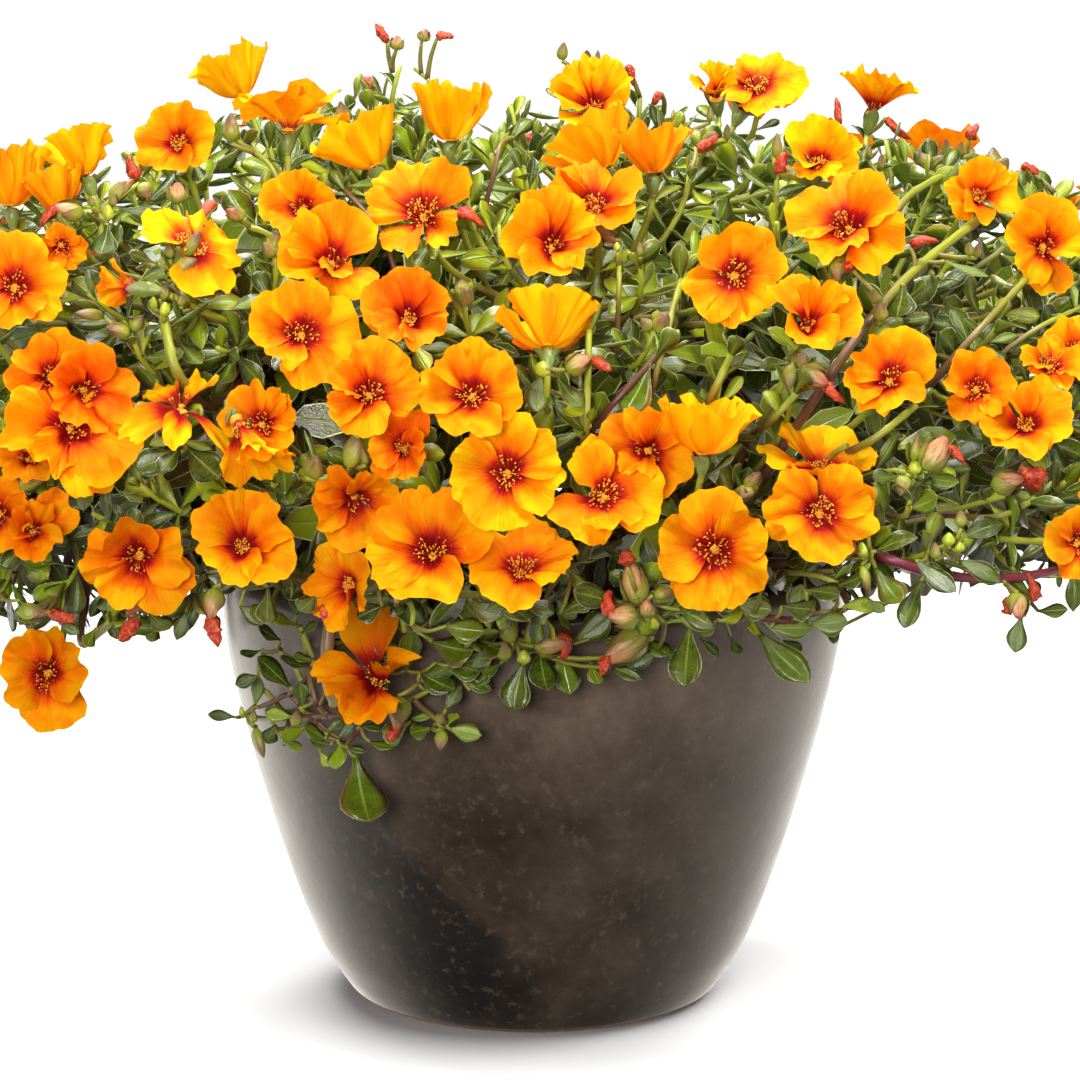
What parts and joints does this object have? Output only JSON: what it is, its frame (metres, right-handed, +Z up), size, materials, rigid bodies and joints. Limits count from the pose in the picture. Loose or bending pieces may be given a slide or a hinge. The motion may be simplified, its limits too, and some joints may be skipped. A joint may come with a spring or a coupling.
{
  "type": "potted portulaca plant",
  "caption": "Flowering portulaca with single yellow-orange flowers, a dense mound of fleshy leaves that spills over the rim of a round dark glazed ceramic pot.",
  "frame": {"origin": "centre of the pot's foot, on the surface that it stands on", "axes": "+Z up along the pot's axis; -Y towards the side shown in the picture, where a shoot trails over the rim; +X to the right seen from there, along the mound's widest direction"},
  "size_m": [0.5549, 0.4956, 0.3758],
  "materials": {
    "pot_glaze": "gloss",
    "soil": "matte",
    "crown_bark": "matte",
    "stem": "satin",
    "leaf": "satin",
    "petal": "satin"
  },
  "bodies": {
    "root": {"pot": "pot_glaze", "potting_soil": "soil", "root_crown": "crown_bark", "main_stem_01": "stem", "main_stem_02": "stem", "main_stem_03": "stem", "main_stem_04": "stem", "main_stem_05": "stem", "main_stem_06": "stem", "main_stem_07": "stem", "main_stem_08": "stem", "main_stem_09": "stem", "main_stem_10": "stem", "main_stem_11": "stem", "main_stem_12": "stem", "main_stem_13": "stem", "main_stem_14": "stem", "main_stem_15": "stem", "main_stem_16": "stem", "main_stem_17": "stem", "trailing_stem": "stem", "leafy_shoots_01": "leaf", "leafy_shoots_02": "leaf", "leafy_shoots_03": "leaf", "leafy_shoots_04": "leaf", "leafy_shoots_05": "leaf", "leafy_shoots_06": "leaf", "leafy_shoots_07": "leaf", "leafy_shoots_08": "leaf", "leafy_shoots_09": "leaf", "leafy_shoots_10": "leaf", "leafy_shoots_11": "leaf", "leafy_shoots_12": "leaf", "leafy_shoots_13": "leaf", "leafy_shoots_14": "leaf", "leafy_shoots_15": "leaf", "leafy_shoots_16": "leaf", "leafy_shoots_17": "leaf", "trailing_shoot": "leaf", "flower_01": "petal", "flower_02": "petal", "flower_03": "petal", "flower_04": "petal", "flower_05": "petal", "flower_06": "petal", "flower_07": "petal", "flower_08": "petal", "flower_09": "petal", "flower_10": "petal", "flower_11": "petal", "flower_12": "petal", "flower_13": "petal", "flower_14": "petal", "flower_15": "petal", "flower_16": "petal", "flower_17": "petal", "flower_18": "petal", "flower_19": "petal", "flower_20": "petal"}
  },
  "joints": []
}
